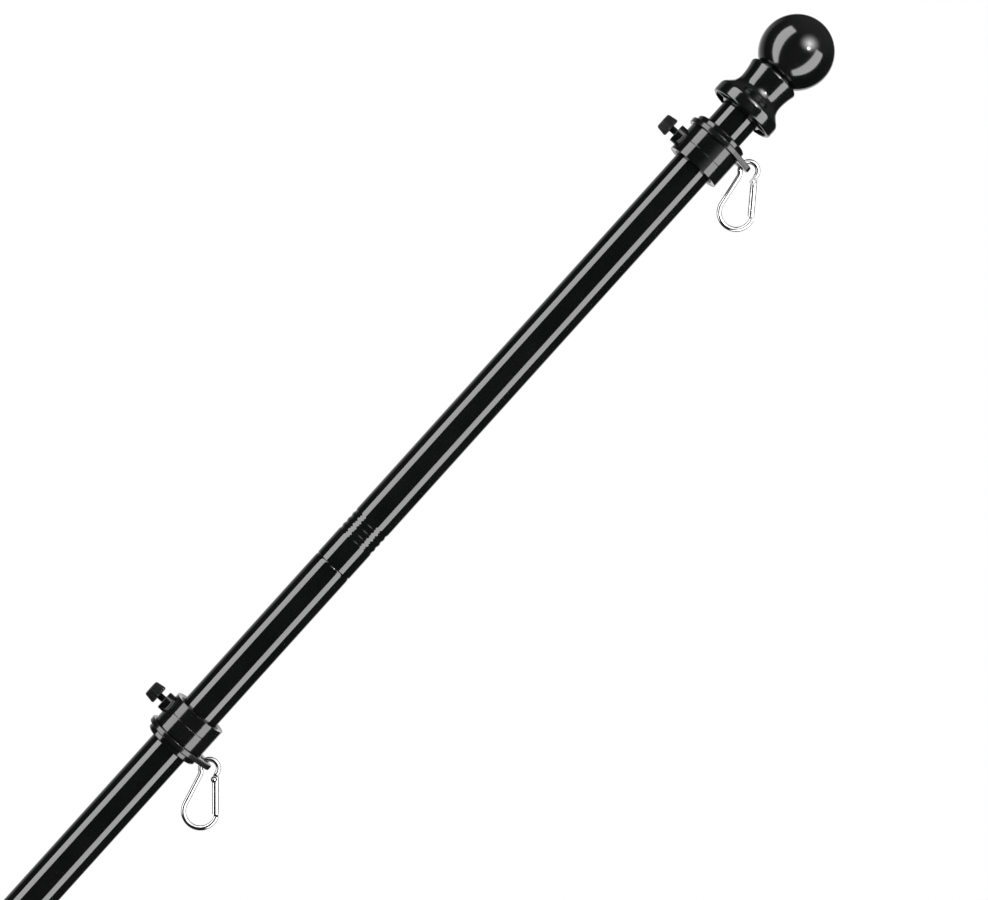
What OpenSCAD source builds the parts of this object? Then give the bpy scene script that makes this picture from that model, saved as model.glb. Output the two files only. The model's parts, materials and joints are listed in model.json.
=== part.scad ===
// Sectional flagpole that leans out of a house bracket: four equal tubes, a ball finial
// and two clamped collars, each with a turning ring and a snap hook for a flag's grommet.
// The origin is the centre of the butt face, +Z is up and the pole rises towards +X.

/* [Pole] */
// Angle of the pole above the horizontal
rise = 47.93; // [40:0.01:55]
// Outer diameter of the tubes
pole_d = 25.4; // [24:0.1:26]
// Wall of the tubes
pole_wall = 1.2; // [1:0.1:1.6]
// Length of one tube
section_l = 381; // [340:1:460]
// Chamfer round the lower end of a tube
foot_chamfer = 0.3; // [0.1:0.1:0.6]
// Thickness of the plug's disc in the butt
butt_disc = 2; // [1:0.5:4]
// Length of the plug in the butt
butt_plug_l = 14; // [8:1:30]

/* [Section joints] */
// Radius rolled on the mouth of each tube
mouth_r = 0.9; // [0.3:0.1:1]
// Plain skirt below the rolled grooves
skirt_l = 19.6; // [14:0.1:24]
// Number of rolled grooves
groove_count = 4; // [2:1:6]
// Distance from groove to groove
groove_pitch = 4.3; // [4:0.1:6]
// Width of a groove
groove_w = 2.9; // [2:0.1:3.2]
// Depth of a groove
groove_depth = 0.6; // [0.3:0.1:0.8]
// Length of the joint plug below the seam
plug_down = 32; // [20:1:60]
// Plug left above the last groove
plug_over = 4; // [2:0.5:12]
// Bore through the joint plug
plug_bore_d = 14; // [8:1:16]

/* [Finial] */
// Length of tube held in the finial's socket
finial_grip = 10; // [7:0.5:13]
// Radius of the bell's foot
foot_r = 22.3; // [21:0.1:25]
// Rounding under the foot
foot_edge = 1.6; // [0.5:0.1:2.5]
// Radius of the shoulder over the foot
shoulder_r = 4.5; // [3:0.1:6]
// Height where the shoulder starts
shoulder_z = 5.8; // [4.5:0.1:8]
// Radius of the hollow sweep to the waist
sweep_r = 9; // [7:0.5:12]
// Radius of the waist
waist_r = 15.5; // [14.8:0.1:17]
// Radius of the long flare above the waist
flare_r = 36; // [28:1:60]
// Height of the bell
bell_h = 31.3; // [28:0.1:36]
// Rounding of the bell's top edge
bell_edge = 2.2; // [1:0.1:3]
// Diameter of the ball
ball_d = 46.8; // [42:0.1:52]
// Radius of the flat that the ball stands on
ball_seat_r = 13.1; // [10:0.1:14]
// Wall of the socket round the tube
socket_wall = 1.8; // [1.2:0.1:2.4]
// Wall of the foot's rim
rim_wall = 2.4; // [1.5:0.1:3]
// Depth of the hollow under the foot
hollow_h = 6; // [3:0.1:7]
// Number of ribs in the hollow
rib_count = 8; // [4:1:12]
// Thickness of a rib
rib_t = 1.2; // [0.8:0.1:2]
// Bore above the end of the tube
throat_d = 21; // [16:0.5:22]
// Height of the throat's roof
throat_top = 26; // [20:0.5:27]

/* [Collars] */
// Space between the upper collar and the finial
upper_gap = 16.9; // [12:0.1:60]
// Lower collar's mouth below the highest seam
lower_drop = 121.3; // [60:0.1:180]
// Outer diameter of a collar's barrel
barrel_d = 35.9; // [34:0.1:38]
// Length of a barrel
barrel_l = 19.5; // [18:0.1:24]
// Chamfer at the barrel's mouth
barrel_chamfer = 0.5; // [0.2:0.1:1]
// Wall of the split liner
liner_wall = 1.55; // [1.2:0.05:1.8]
// Width of the liner's slit
slit_w = 2.7; // [1:0.1:4]
// Outer diameter of the neck that the ring turns on
neck_d = 32.8; // [31.8:0.1:33.4]
// Bore of the end flange
flange_bore_d = 27.8; // [27.2:0.1:28.2]
// Outer diameter of the end flange
flange_d = 35.8; // [34.6:0.1:38]
// Thickness of the end flange
flange_t = 3.4; // [2.4:0.1:5]
// Bevel on the end flange
flange_bevel = 0.8; // [0.3:0.1:1.2]

/* [Turning ring] */
// Outer diameter of the turning ring
ring_d = 40.2; // [37:0.1:42]
// Thickness of the turning ring
ring_t = 3.7; // [3:0.1:4]
// Distance of the eyelet from the pole's axis
eyelet_x = 20.9; // [20.8:0.1:23]
// Radius of the eyelet
eyelet_r = 2.7; // [2.4:0.1:2.9]
// Radius of the tab's round end
tab_r = 6.1; // [5.6:0.1:6.2]

/* [Thumb screw] */
// Distance of the screw's axis from the barrel's mouth
screw_z = 9; // [8:0.1:11]
// Diameter of the boss
boss_d = 12; // [10:0.1:13]
// Distance of the boss's face from the pole's axis
boss_x = 21.8; // [20.5:0.1:24]
// Diameter of the threaded insert
insert_d = 7.2; // [6.4:0.1:8.4]
// Length of the threaded insert
insert_l = 4.4; // [3:0.1:5]
// Diameter of the screw's shank
shank_d = 4.5; // [3.5:0.1:5]
// Free shank between the boss and the knob
shank_free = 3.7; // [2:0.1:7]
// Length of the knob
knob_l = 7.3; // [6:0.1:10]
// Diameter of the knob at its inner face
knob_d = 12; // [10:0.1:13]
// Diameter of the knob at its outer end
knob_end_d = 10.4; // [8:0.1:12]
// Rounding of the knob's edges
knob_edge = 0.8; // [0.4:0.1:1.2]
// Shank held in the knob
knob_grip = 4.5; // [3:0.1:5]
// Number of grip flutes round the knob
flute_count = 16; // [8:1:20]
// Radius of a flute
flute_r = 0.55; // [0.3:0.05:0.7]
// Width of the slot in the knob's end
slot_w = 1.2; // [0.8:0.1:1.6]
// Depth of the slot in the knob's end
slot_depth = 1.1; // [0.5:0.1:1.6]

/* [Snap hook] */
// Wire of the hook
wire_d = 3.1; // [2.8:0.1:3.3]
// Radius of the eye, to the middle of the wire
eye_r = 5.5; // [5.3:0.1:6]
// Distance that the eye hangs out from the middle of the eyelet
eye_hang = 0.4; // [0.1:0.1:0.5]
// Place on the eye where the spine bends away
waist_a = 207; // [203:1:212]
// Place on the eye where the hinge neck starts
neck_a = -40; // [-44:1:-34]
// Radius of the bow, to the middle of the wire
bow_r = 10.3; // [9.6:0.1:11]
// Distance of the bow's centre to the spine side of the eye
bow_x = 5.6; // [5:0.1:6.2]
// Distance of the bow's centre below the eye
bow_drop = 26.2; // [25.4:0.1:27.6]
// Place on the bow where the nose starts
nose_a = -20; // [-24:1:-18]
// Extra lean of the upper hook towards the pole
upper_lean = 5; // [0:1:8]
// Swelling of the wire at the kinked waist
kink_swell = 0.12; // [0.05:0.01:0.3]
// Length that a flat tongue runs into the wire's end
tongue_root = 1; // [0.5:0.1:1.5]
// Amount that the straight spine is thinner than the bent wire, on the radius
spine_step = 0.02; // [0.01:0.01:0.05]

/* [Hook gate] */
// Diameter of the gate
gate_d = 4.1; // [3.8:0.1:4.4]
// Distance of the gate's axis from the eye's centre
gate_x = 3.65; // [3.5:0.05:3.9]
// Top of the gate below the eye's centre
gate_top = 5.2; // [5:0.1:5.6]
// Foot of the gate below the eye's centre
gate_foot = 28.9; // [28:0.1:29]
// Rise of the slanted cut at the gate's foot
gate_slant = 1.2; // [0.4:0.1:2]
// Distance of the hinge rivet from the eye's centre
hinge_x = 3; // [2.8:0.1:3.2]
// Distance of the hinge rivet below the eye's centre
hinge_drop = 6.7; // [6.6:0.1:7.2]
// Radius of the knuckle round the rivet
knuckle_r = 1.95; // [1.7:0.05:2.1]
// Width that each side of the knuckle stands out from the gate
knuckle_proud = 0.15; // [0.1:0.05:0.3]
// Thickness of the hinge tongue and of the nose
tongue_t = 1.3; // [1:0.1:1.5]
// Diameter of the rivet
rivet_d = 1.2; // [1:0.1:1.4]
// Diameter of the rivet's heads
rivet_head_d = 2; // [1.8:0.1:2.6]
// Height of a rivet head
rivet_head_t = 0.35; // [0.2:0.05:0.6]
// Length of the nose inside the gate
nose_l = 3.1; // [2.4:0.1:4]
// Wall left at the inner side of the gate's lower slot
gate_web = 0.9; // [0.6:0.1:1.2]

/* [Clearances] */
// Radial play of a turning or sliding fit
run_gap = 0.1; // [0.05:0.01:0.15]
// Radial play of a fixed fit
seat_gap = 0.05; // [0.02:0.01:0.08]
// Space beside the turning ring, each side
ring_gap = 0.15; // [0.1:0.05:0.3]
// Space beside a tongue in its slot, each side
slot_gap = 0.2; // [0.1:0.05:0.3]

/* [Hidden] */
$fn = 96;
sections = 4;
eps = 0.01;
cut = 1;
gloss_black = [0.03, 0.03, 0.035];
satin_black = [0.07, 0.07, 0.075];
bright_steel = [0.8, 0.81, 0.83];

pole_r = pole_d / 2;
inner_r = pole_r - pole_wall;
plug_r = inner_r - seat_gap;
// A groove is part of a circle whose centre lies outside the tube
groove_r = (groove_w * groove_w / 4 + groove_depth * groove_depth) / (2 * groove_depth);
groove_x = pole_r + groove_r - groove_depth;
function groove_z(i) = skirt_l + groove_w / 2 + i * groove_pitch;
plug_up = groove_z(groove_count - 1) + groove_w / 2 + plug_over;

finial_z = sections * section_l - finial_grip;
socket_r = pole_r + seat_gap;
ball_r = ball_d / 2;
ball_z = bell_h + sqrt(ball_r * ball_r - ball_seat_r * ball_seat_r);

liner_r = pole_r + run_gap + liner_wall;
bore_r = liner_r + run_gap;
neck_l = ring_t + 2 * ring_gap;
ring_z = barrel_l + neck_l / 2;
collar_l = barrel_l + neck_l + flange_t;
upper_z = finial_z - upper_gap - collar_l;
lower_z = (sections - 1) * section_l - lower_drop;

knob_x = boss_x + shank_free;
eye_x = eyelet_x + eye_r + eye_hang;
wire_r = wire_d / 2;
gate_r = gate_d / 2;
slot_t = tongue_t + 2 * slot_gap;
knuckle_w = gate_d + 2 * knuckle_proud;

// Points along an arc, both ends included
function arc(c, r, a0, a1, n = 12) =
    [for (i = [0 : n]) let (a = a0 + (a1 - a0) * i / n) c + r * [cos(a), sin(a)]];
function polar(r, a) = r * [cos(a), sin(a)];

// The pole's own axes: Z up the pole, X away from the sky side
module on_pole(z = 0) {
    rotate([0, 90 - rise, 0]) translate([0, 0, z]) children();
}

// A collar's own axes: Z from the barrel's mouth to the flange
module on_collar(which) {
    if (which == "upper") on_pole(upper_z) children();
    else on_pole(lower_z) rotate([180, 0, 0]) children();
}

// The screw's own axes: Z along the screw, outwards from the pole's axis
module on_screw(which) {
    on_collar(which) translate([0, 0, screw_z]) rotate([0, -90, 0]) children();
}

// A hook hangs upright: X across it, Y up and Z through it, with the eye's centre at 0
module on_hook(which) {
    ring_up = which == "upper" ? upper_z + ring_z : lower_z - ring_z;
    lean = which == "upper" ? upper_lean : 0;
    on_pole(ring_up) translate([eye_x, 0, 0])
        rotate([0, rise - 90 + lean, 0]) rotate([90, 0, 0]) children();
}

// Wall of a tube with its rolled mouth at the top and, from the second tube on, the
// grooves that hold it on the joint plug
module tube_wall(grooved) {
    difference() {
        union() {
            translate([inner_r, 0]) square([pole_wall, section_l - mouth_r]);
            translate([inner_r, section_l - mouth_r - eps])
                square([pole_wall - mouth_r, mouth_r + eps]);
            intersection() {
                translate([pole_r - mouth_r, section_l - mouth_r]) circle(mouth_r);
                translate([inner_r, section_l - mouth_r - eps])
                    square([pole_wall, mouth_r + eps]);
            }
            if (grooved) groove_beads();
        }
        if (grooved) groove_rows() circle(groove_r);
        polygon([[pole_r - foot_chamfer, 0], [pole_r + cut, -cut - foot_chamfer],
            [pole_r + cut, foot_chamfer + cut], [pole_r, foot_chamfer]]);
    }
}

module groove_rows() {
    for (i = [0 : groove_count - 1]) translate([groove_x, groove_z(i)]) children();
}

// The tube's wall keeps its thickness under a rolled groove, as a bead inside
module groove_beads() {
    bead_w = groove_pitch - 2 * eps;
    groove_rows() intersection() {
        circle(groove_r + pole_wall);
        translate([inner_r - groove_depth - groove_x, -bead_w / 2])
            square([pole_wall + groove_depth, bead_w]);
    }
}

module pole_section(k) {
    color(gloss_black) on_pole((k - 1) * section_l)
        rotate_extrude() tube_wall(grooved = k > 1);
}

// Hidden plug that joins two tubes, waisted where the beads of the upper tube grip it
module joint_plug(k) {
    color(satin_black) on_pole(k * section_l) rotate_extrude() difference() {
        translate([plug_bore_d / 2, -plug_down])
            square([plug_r - plug_bore_d / 2, plug_down + plug_up]);
        groove_rows() circle(groove_r + pole_wall + seat_gap);
    }
}

module butt_plug() {
    sleeve_r = plug_r - pole_wall;
    color(satin_black) on_pole() difference() {
        cylinder(r = plug_r, h = butt_plug_l);
        translate([0, 0, butt_disc]) cylinder(r = sleeve_r, h = butt_plug_l);
    }
}

// Bell of the finial: rounded foot, shoulder, 45 degree slope, hollow sweep to the waist,
// long flare and rounded top edge, each tangent to the next
function bell_outline() =
    let (diagonal = foot_r - shoulder_r + shoulder_z + 2 * shoulder_r * cos(45))
    let (waist_z = diagonal - waist_r - sweep_r + 2 * sweep_r * cos(45))
    let (flare_a = asin((bell_h - bell_edge - waist_z) / (flare_r + bell_edge)))
    let (flare_c = [waist_r + flare_r, waist_z])
    let (edge_c = flare_c - polar(flare_r + bell_edge, -flare_a))
    concat(
        [[0, 0]],
        arc([foot_r - foot_edge, foot_edge], foot_edge, -90, 0, 8),
        arc([foot_r - shoulder_r, shoulder_z], shoulder_r, 0, 45),
        arc([waist_r + sweep_r, waist_z], sweep_r, 225, 180, 16),
        arc(flare_c, flare_r, 179, 180 - flare_a, 8),
        arc(edge_c, bell_edge, -flare_a, 90, 10),
        [[0, bell_h]]
    );

module finial_base() {
    color(gloss_black) on_pole(finial_z) difference() {
        rotate_extrude() polygon(bell_outline());
        translate([0, 0, -cut]) cylinder(r = socket_r, h = finial_grip + cut);
        cylinder(d = throat_d, h = throat_top);
        foot_hollow();
    }
}

// Hollow round the socket, crossed by thin ribs
module foot_hollow() {
    in_r = socket_r + socket_wall;
    out_r = foot_r - rim_wall;
    difference() {
        translate([0, 0, -cut]) cylinder(r = out_r, h = hollow_h + cut);
        translate([0, 0, -2 * cut]) cylinder(r = in_r, h = hollow_h + 3 * cut);
        for (i = [0 : rib_count - 1]) rotate([0, 0, i * 360 / rib_count])
            translate([in_r - cut, -rib_t / 2, foot_edge / 2])
                cube([out_r - in_r + 2 * cut, rib_t, hollow_h]);
    }
}

module finial_ball() {
    color(gloss_black) on_pole(finial_z) difference() {
        translate([0, 0, ball_z]) sphere(ball_r);
        translate([0, 0, bell_h - ball_d]) cylinder(r = ball_d, h = ball_d);
    }
}

module liner(which) {
    color(satin_black) on_collar(which) difference() {
        translate([0, 0, barrel_chamfer]) cylinder(r = liner_r, h = barrel_l - barrel_chamfer);
        cylinder(r = pole_r + run_gap, h = barrel_l + cut);
        translate([-slit_w / 2, 0, 0]) cube([slit_w, liner_r + cut, barrel_l + cut]);
    }
}

module barrel(which) {
    outer_r = barrel_d / 2;
    boss_start = bore_r + liner_wall / 2;
    color(gloss_black) difference() {
        union() {
            on_collar(which) {
                translate([0, 0, barrel_chamfer]) cylinder(r = outer_r, h = barrel_l - barrel_chamfer);
                cylinder(r1 = outer_r - barrel_chamfer, r2 = outer_r, h = barrel_chamfer);
            }
            on_screw(which) {
                translate([0, 0, boss_start])
                    cylinder(d = boss_d, h = boss_x - boss_start - barrel_chamfer);
                translate([0, 0, boss_x - barrel_chamfer])
                    cylinder(d1 = boss_d, d2 = boss_d - 2 * barrel_chamfer, h = barrel_chamfer);
            }
        }
        on_collar(which) translate([0, 0, -cut]) cylinder(r = bore_r, h = barrel_l + 2 * cut);
        on_screw(which) {
            translate([0, 0, boss_x - insert_l]) cylinder(d = insert_d, h = insert_l + cut);
            translate([0, 0, pole_r]) cylinder(r = shank_d / 2 + run_gap, h = boss_x - pole_r);
        }
    }
}

// Neck and end flange, seated on the barrel's end, with bevels at the outer face
module flange(which) {
    bore = flange_bore_d / 2;
    outer = flange_d / 2;
    neck_top = barrel_l + neck_l;
    color(gloss_black) on_collar(which) rotate_extrude() polygon([
        [bore, barrel_l], [neck_d / 2, barrel_l], [neck_d / 2, neck_top], [outer, neck_top],
        [outer, collar_l - flange_bevel], [outer - flange_bevel, collar_l],
        [bore + flange_bevel, collar_l], [bore, collar_l - flange_bevel]
    ]);
}

// Flat ring with a round-ended tab, whose sides are tangent to the ring
module turning_ring(which) {
    ring_r = ring_d / 2;
    side_a = acos((ring_r - tab_r) / eyelet_x);
    tab_c = [eyelet_x, 0];
    color(satin_black) on_collar(which) translate([0, 0, barrel_l + ring_gap])
        linear_extrude(ring_t) difference() {
            union() {
                circle(ring_r);
                translate(tab_c) circle(tab_r);
                polygon([polar(ring_r, side_a), polar(ring_r, -side_a),
                    tab_c + polar(tab_r, -side_a), tab_c + polar(tab_r, side_a)]);
            }
            circle(neck_d / 2 + run_gap);
            translate(tab_c) circle(eyelet_r);
        }
}

module screw_insert(which) {
    color(bright_steel) on_screw(which) translate([0, 0, boss_x - insert_l]) difference() {
        cylinder(d = insert_d, h = insert_l);
        translate([0, 0, -cut]) cylinder(r = shank_d / 2 + run_gap, h = insert_l + 2 * cut);
    }
}

module screw_shank(which) {
    tip = liner_r + seat_gap;
    color(satin_black) on_screw(which)
        translate([0, 0, tip]) cylinder(d = shank_d, h = knob_x + knob_grip - tip);
}

// Tapered knob with rounded edges, grip flutes and a slot for a coin or a driver
module screw_knob(which) {
    in_r = knob_d / 2;
    out_r = knob_end_d / 2;
    taper_a = atan((in_r - out_r) / knob_l);
    color(satin_black) on_screw(which) translate([0, 0, knob_x]) difference() {
        rotate_extrude() polygon(concat(
            [[0, 0]],
            arc([in_r - knob_edge, knob_edge], knob_edge, -90, taper_a, 6),
            arc([out_r - knob_edge, knob_l - knob_edge], knob_edge, taper_a, 90, 6),
            [[0, knob_l]]
        ));
        translate([0, 0, -cut]) cylinder(d = shank_d, h = knob_grip + cut);
        for (i = [0 : flute_count - 1]) rotate([0, 0, i * 360 / flute_count])
            translate([in_r + flute_r / 2, 0, 0]) rotate([0, -taper_a, 0])
                translate([0, 0, -cut]) cylinder(r = flute_r, h = knob_l + 2 * cut, $fn = 24);
        translate([-in_r, -slot_w / 2, knob_l - slot_depth]) cube([knob_d, slot_w, knob_d]);
    }
}

// Where the spine leaves the eye, and where it meets the bow as a tangent
spine_top = polar(eye_r, waist_a);
bow_c = [-bow_x, -bow_drop];
to_bow = bow_c - spine_top;
spine_l = sqrt(to_bow * to_bow - bow_r * bow_r);
spine_a = atan2(to_bow[1], to_bow[0]) - asin(bow_r / norm(to_bow));
// The spine ends inside the bow, before the bow curves away from it
spine_root = sqrt(bow_r * spine_step);
hinge_c = [hinge_x, -hinge_drop];
nose_top = nose_l - gate_foot;

// A bent length of round wire
module wire_arc(c, r, a0, a1) {
    translate(c) rotate([0, 0, a0]) rotate_extrude(angle = a1 - a0)
        translate([r, 0]) circle(wire_r, $fn = 32);
}

// Flat plate as thick as a tongue, centred on the hook's plane
module tongue_plate() {
    translate([0, 0, -tongue_t / 2]) linear_extrude(tongue_t) children();
}

// Wire frame of the hook: eye, kinked waist, straight spine and bow, with a flat hinge
// tongue at the eye's end and a flat nose at the bow's end
module hook_frame(which) {
    color(bright_steel) on_hook(which) difference() {
        union() {
            wire_arc([0, 0], eye_r, neck_a, waist_a);
            translate(spine_top) sphere(wire_r + kink_swell, $fn = 32);
            translate(spine_top) rotate([0, 0, spine_a]) rotate([0, 90, 0])
                cylinder(r = wire_r - spine_step, h = spine_l + spine_root, $fn = 32);
            wire_arc(bow_c, bow_r, spine_a + 270, nose_a + 360);
            tongue_plate() {
                translate(hinge_c) circle(knuckle_r - slot_gap);
                polygon(neck_outline());
            }
            tongue_plate() polygon(nose_outline());
        }
        translate(hinge_c) cylinder(d = rivet_d, h = gate_d, center = true, $fn = 32);
    }
}

// Flat neck from inside the eye's wire to the hinge
function neck_outline() =
    let (half = [knuckle_r - slot_gap, 0])
    let (along = tongue_root * [-sin(neck_a), cos(neck_a)])
    let (out = polar(eye_r + wire_r - slot_gap, neck_a), in = polar(eye_r - wire_r + slot_gap, neck_a))
    [in + along, out + along, out, hinge_c + half, hinge_c - half, in];

// Blade that stands in the gate's lower slot and stops the gate from swinging outwards
function nose_outline() =
    let (in_x = gate_x - gate_r + gate_web + slot_gap, out_x = gate_x + gate_r - slot_gap)
    let (back = tongue_root * [sin(nose_a), -cos(nose_a)])
    let (out = bow_c + polar(bow_r + wire_r - slot_gap, nose_a))
    let (in = bow_c + polar(bow_r - wire_r + slot_gap, nose_a))
    [in + back, out + back, out, [out_x, -gate_foot], [out_x, nose_top - slot_gap],
        [in_x, nose_top - slot_gap], [in_x, -gate_foot], in];

// Round gate with a forked knuckle at the top and a slotted, slanted foot
module hook_gate(which) {
    half = gate_d;
    left_x = gate_x - gate_r;
    color(bright_steel) on_hook(which) difference() {
        union() {
            translate([gate_x, -gate_foot, 0]) rotate([-90, 0, 0])
                cylinder(r = gate_r, h = gate_foot - gate_top, $fn = 48);
            translate(hinge_c) cylinder(r = knuckle_r, h = knuckle_w, center = true, $fn = 48);
        }
        translate([hinge_x - half, -hinge_drop - knuckle_r - slot_gap, -slot_t / 2])
            cube([2 * half, gate_d * 2, slot_t]);
        translate([left_x + gate_web, -gate_foot - cut, -slot_t / 2])
            cube([gate_d, nose_l + cut, slot_t]);
        translate([left_x - cut, -gate_foot, -half])
            linear_extrude(2 * half) polygon([[0, -cut], [gate_d + cut, -cut],
                [gate_d + cut, 0], [cut, gate_slant], [0, gate_slant]]);
        translate(hinge_c)
            cylinder(r = rivet_d / 2 + seat_gap, h = 2 * gate_d, center = true, $fn = 32);
    }
}

module hook_rivet(which) {
    color(bright_steel) on_hook(which) translate(hinge_c) {
        cylinder(d = rivet_d, h = knuckle_w + 2 * seat_gap, center = true, $fn = 32);
        for (side = [0, 180]) rotate([side, 0, 0])
            translate([0, 0, knuckle_w / 2 + seat_gap])
                cylinder(d1 = rivet_head_d, d2 = rivet_d, h = rivet_head_t, $fn = 32);
    }
}

for (k = [1 : sections])
    pole_section(k);
for (k = [1 : sections - 1])
    joint_plug(k);
butt_plug();
finial_base();
finial_ball();
for (which = ["upper", "lower"]) {
    liner(which);
    barrel(which);
    flange(which);
    turning_ring(which);
    screw_insert(which);
    screw_shank(which);
    screw_knob(which);
    hook_frame(which);
    hook_gate(which);
    hook_rivet(which);
}
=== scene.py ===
# %% [markdown]
# # A leaning flagpole with two snap-hook collars
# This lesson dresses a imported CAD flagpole. The CAD model gives every place and every size.
# Here each piece gets its finer form, its gloss and the light of a plain studio.
# We look at what the frame tells us, set up the studio and the finishes, and then make the
# pieces one by one, from the tubes to the hooks that hold the flag.

# %% Load the frame
import json
from math import acos, asin, atan, atan2, ceil, cos, degrees, pi, radians, sin, sqrt, tan, tau
import bmesh
import bpy
from mathutils import Matrix, Vector

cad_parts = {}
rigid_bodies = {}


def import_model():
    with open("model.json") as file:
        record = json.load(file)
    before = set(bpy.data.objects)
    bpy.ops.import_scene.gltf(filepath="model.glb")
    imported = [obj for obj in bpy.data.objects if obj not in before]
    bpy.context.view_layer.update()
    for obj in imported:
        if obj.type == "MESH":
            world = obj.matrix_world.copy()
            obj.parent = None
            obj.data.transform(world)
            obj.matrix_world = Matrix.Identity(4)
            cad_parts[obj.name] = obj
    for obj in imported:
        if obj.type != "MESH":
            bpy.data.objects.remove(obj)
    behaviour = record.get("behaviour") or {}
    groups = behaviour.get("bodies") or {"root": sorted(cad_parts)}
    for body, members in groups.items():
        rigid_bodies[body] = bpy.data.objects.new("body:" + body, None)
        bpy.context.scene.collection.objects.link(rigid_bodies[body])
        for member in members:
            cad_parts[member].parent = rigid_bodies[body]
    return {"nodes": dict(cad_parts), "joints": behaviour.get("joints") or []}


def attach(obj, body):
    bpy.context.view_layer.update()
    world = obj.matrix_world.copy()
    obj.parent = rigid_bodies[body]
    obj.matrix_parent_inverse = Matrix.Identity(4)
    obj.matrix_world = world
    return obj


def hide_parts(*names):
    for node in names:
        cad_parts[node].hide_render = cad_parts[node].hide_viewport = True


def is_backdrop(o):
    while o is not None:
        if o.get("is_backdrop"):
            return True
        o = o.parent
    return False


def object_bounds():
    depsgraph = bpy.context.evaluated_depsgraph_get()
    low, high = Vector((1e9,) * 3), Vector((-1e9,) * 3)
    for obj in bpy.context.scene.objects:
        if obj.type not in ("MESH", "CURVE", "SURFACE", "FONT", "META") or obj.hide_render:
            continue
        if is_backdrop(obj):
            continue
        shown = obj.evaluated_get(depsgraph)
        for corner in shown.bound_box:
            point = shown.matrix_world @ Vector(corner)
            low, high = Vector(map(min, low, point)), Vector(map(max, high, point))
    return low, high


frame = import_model()
cad_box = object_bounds()
scene = bpy.context.scene

# %% [markdown]
# ## Finding our way
# The pole leans, and leaning things are awkward to draw. A machinist would clamp the work
# straight and measure in millimetres. So do we: every piece is drawn upright, and one matrix
# carries it to its place. The frame's joints hold all that the matrices need: the slide's
# axis is the pole's own axis, a thumb screw travels towards the sky side, and each hinge
# has its pin's position.

# %% Directions and places from the joints
MM = 0.001
joints = {joint["name"]: joint for joint in frame["joints"]}
COLLARS = {"upper": 1, "lower": -1}
AXIS = Vector(joints["upper_collar_slide"]["axis"]).normalized()
SKY = Vector(joints["upper_screw_travel"]["axis"]).normalized()
SIDE = AXIS.cross(-SKY)


def pivot(joint):
    return Vector(joints[joint]["pos_m"])


def place(origin, x_axis, y_axis, z_axis):
    """The matrix that carries a drawing in millimetres to its place in metres."""
    matrix = Matrix((x_axis, y_axis, z_axis)).transposed().to_4x4()
    matrix.translation = origin
    return matrix @ Matrix.Scale(MM, 4)


def pole_place(along):
    """Z up the pole and X away from the sky side, from a height along the pole in mm."""
    return place(AXIS * along * MM, -SKY, SIDE, AXIS)


def collar_place(which, along=0.0):
    """Z from the barrel's mouth towards the ring. The lower collar stands on its head."""
    turn, mouth = COLLARS[which], pivot(which + "_collar_turn")
    return place(mouth + AXIS * turn * along * MM, -SKY, SIDE * turn, AXIS * turn)


def screw_place(which):
    """Z along the thumb screw, outwards from the pole's axis."""
    turn, foot = COLLARS[which], pivot(which + "_knob_turn")
    foot -= SKY * foot.dot(SKY)
    return place(foot, AXIS * turn, SIDE * turn, SKY)


HINGE = (3.0, -6.7)


def hook_place(which):
    """X across the hook, Y up and Z through it, from the middle of its eye."""
    eye = pivot(which + "_hook_swing")
    pin = pivot(which + "_gate_hinge") - eye
    lean = atan2(pin.x, -pin.z) - atan2(HINGE[0], -HINGE[1])
    x_axis = Vector((cos(lean), 0, sin(lean)))
    y_axis = Vector((-sin(lean), 0, cos(lean)))
    return place(eye, x_axis, y_axis, x_axis.cross(y_axis))


rise = degrees(asin(AXIS.z))
print(f"The pole rises at {rise:.2f} degrees")

# %% [markdown]
# ## The camera
# The photograph was taken from the side, level with the middle of what it shows, with a
# long lens. The tube is equally wide at both ends of the picture, which means that the pole
# lies parallel to it. So the camera looks straight along +Y, 1.53 metres away.

# %% Camera
FOCUS = Vector((0.8638, 0.0, 0.9188))
CAMERA_DISTANCE = 1.53
LENS, SENSOR = 91.3, 36
camera_data = bpy.data.cameras.new("Photo camera")
camera_data.sensor_width = SENSOR
camera_data.lens = LENS
camera = bpy.data.objects.new("Photo camera", camera_data)
camera.location = FOCUS - Vector((0, CAMERA_DISTANCE, 0))
camera.rotation_euler = (pi / 2, 0, 0)
scene.collection.objects.link(camera)
scene.camera = camera
scene.view_settings.view_transform = "Standard"
print("The camera stands at", [round(c, 3) for c in camera.location])

# %% [markdown]
# ## Node trees written as formulas
# Finishes and Geometry Nodes are both made of node trees. A small helper adds a node, sets
# what is a plain value and links what is another node's output. With it a tree reads from
# top to bottom like a formula. One step comes back often enough to get a name: fade, which
# goes from one value to another while its input crosses a span.

# %% A helper for nodes


class Tree:
    """Adds nodes to a tree and wires them as it goes."""

    def __init__(self, tree):
        self.tree = tree

    def add(self, kind, inputs=(), **settings):
        node = self.tree.nodes.new(kind)
        for name, value in settings.items():
            setattr(node, name, value)
        for key, value in dict(inputs).items():
            if isinstance(value, bpy.types.NodeSocket):
                self.tree.links.new(value, node.inputs[key])
            else:
                node.inputs[key].default_value = value
        return node

    def out(self, kind, inputs=(), **settings):
        """Adds a node and returns its first output."""
        return self.add(kind, inputs, **settings).outputs[0]

    def math(self, operation, *values):
        return self.out("ShaderNodeMath", dict(enumerate(values)), operation=operation)

    def vector(self, operation, *values, output=0):
        step = self.add("ShaderNodeVectorMath", dict(enumerate(values)), operation=operation)
        return step.outputs[output]

    def fade(self, value, span, low=0.0, high=1.0):
        return self.out("ShaderNodeMapRange", {"Value": value, "From Min": span[0],
                                               "From Max": span[1], "To Min": low,
                                               "To Max": high})


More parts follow.
